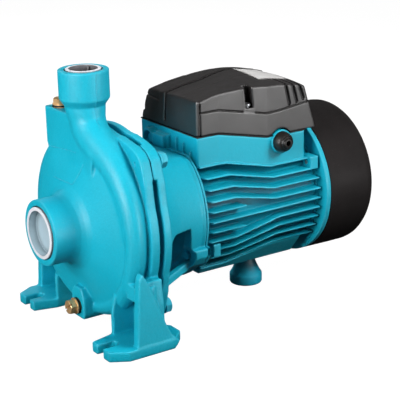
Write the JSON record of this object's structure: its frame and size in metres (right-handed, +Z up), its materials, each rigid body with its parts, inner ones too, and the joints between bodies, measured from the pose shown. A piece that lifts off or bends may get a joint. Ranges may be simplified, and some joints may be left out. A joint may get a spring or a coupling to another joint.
{
  "type": "centrifugal water pump",
  "caption": "Close-coupled end-suction centrifugal pump with a finned motor, terminal box, fan cowl, feet, screwed ports, spinning rotor, pull-off port caps and screw plugs.",
  "frame": {"origin": "centre of the bounding box in plan, on the plane of the feet", "axes": "+X from the suction port along the shaft to the fan cover, +Z up, -Y the side of the cable gland"},
  "size_m": [0.3286, 0.19, 0.2392],
  "materials": {
    "casting_paint": "turquoise enamel over a sand casting",
    "housing_paint": "turquoise enamel over a die casting",
    "foot_paint": "dark turquoise moulded foot",
    "white_plastic": "moulded dust cap",
    "brass": "turned, lightly dulled",
    "zinc_steel": "zinc plated",
    "stainless": "turned stainless steel",
    "bearing_steel": "ground bearing steel",
    "core_steel": "stacked laminations",
    "impeller_brass": "cast brass",
    "winding_copper": "enamelled copper wire",
    "seal_rubber": "moulded rubber",
    "seal_ceramic": "lapped ceramic",
    "black_plastic": "fine grained black moulding",
    "fan_cover_plastic": "smooth black cowl",
    "label_film": "blank film plate",
    "terminal_plastic": "moulded terminal block",
    "capacitor_plastic": "moulded can"
  },
  "bodies": {
    "body": {"cable_gland_body": "black_plastic", "cable_gland_nut": "black_plastic", "capacitor_clip": "zinc_steel", "casing_bolts": "casting_paint", "casing_foot_far": "casting_paint", "casing_foot_near": "casting_paint", "casing_gasket": "seal_rubber", "casing_leg_far": "casting_paint", "casing_leg_near": "casting_paint", "cover_screws": "zinc_steel", "discharge_boss": "casting_paint", "earth_screw": "housing_paint", "end_shield_screws": "zinc_steel", "fan_cover": "fan_cover_plastic", "front_bearing_outer": "bearing_steel", "housing_screws": "casting_paint", "motor_bracket": "casting_paint", "motor_housing": "housing_paint", "pump_casing": "casting_paint", "rating_label": "label_film", "rear_bearing_outer": "bearing_steel", "rear_end_shield": "housing_paint", "seal_seat_cup": "seal_rubber", "seal_stationary_ring": "seal_ceramic", "start_capacitor": "capacitor_plastic", "stator_core": "core_steel", "stator_windings": "winding_copper", "suction_boss": "casting_paint", "support_foot": "foot_paint", "support_foot_screw": "zinc_steel", "terminal_block": "terminal_plastic", "terminal_box_cover": "black_plastic", "terminal_box_gasket": "seal_rubber", "wave_washer": "bearing_steel"},
    "rotor": {"impeller": "impeller_brass", "impeller_nut": "stainless", "impeller_key": "stainless", "seal_rotary_head": "stainless", "seal_spring": "stainless", "motor_shaft": "stainless", "rotor_core": "core_steel", "slinger_ring": "seal_rubber", "front_bearing_inner": "bearing_steel", "rear_bearing_inner": "bearing_steel", "cooling_fan": "black_plastic"},
    "front_balls": {"front_bearing_balls": "bearing_steel", "front_bearing_cage": "bearing_steel"},
    "rear_balls": {"rear_bearing_balls": "bearing_steel", "rear_bearing_cage": "bearing_steel"},
    "suction_cap": {"suction_cap": "white_plastic"},
    "discharge_cap": {"discharge_cap": "white_plastic"},
    "priming_plug": {"priming_plug": "brass", "priming_plug_washer": "seal_rubber"},
    "drain_plug": {"drain_plug": "brass", "drain_plug_washer": "seal_rubber"}
  },
  "joints": [
    {"name": "rotor_spin", "type": "hinge", "parent": "body", "child": "rotor", "pos_m": [0, 0, 0.0975], "axis": [1, 0, 0], "continuous": true},
    {"name": "front_balls_spin", "type": "hinge", "parent": "body", "child": "front_balls", "pos_m": [-0.0446, 0, 0.0975], "axis": [1, 0, 0], "continuous": true},
    {"name": "rear_balls_spin", "type": "hinge", "parent": "body", "child": "rear_balls", "pos_m": [0.10125, 0, 0.0975], "axis": [1, 0, 0], "continuous": true},
    {"name": "suction_cap_pull", "type": "slide", "parent": "body", "child": "suction_cap", "axis": [-1, 0, 0], "range_m": [0, 0.12]},
    {"name": "discharge_cap_pull", "type": "slide", "parent": "body", "child": "discharge_cap", "axis": [0, 0, 1], "range_m": [0, 0.12]},
    {"name": "priming_plug_lift", "type": "slide", "parent": "body", "child": "priming_plug", "axis": [0, 0, 1], "range_m": [0, 0.03]},
    {"name": "drain_plug_draw", "type": "slide", "parent": "body", "child": "drain_plug", "axis": [-1, 0, 0], "range_m": [0, 0.03]}
  ],
  "couplings": [
    {"joint": "front_balls_spin", "follows": "rotor_spin", "ratio": 0.3817},
    {"joint": "rear_balls_spin", "follows": "rotor_spin", "ratio": 0.3817}
  ]
}
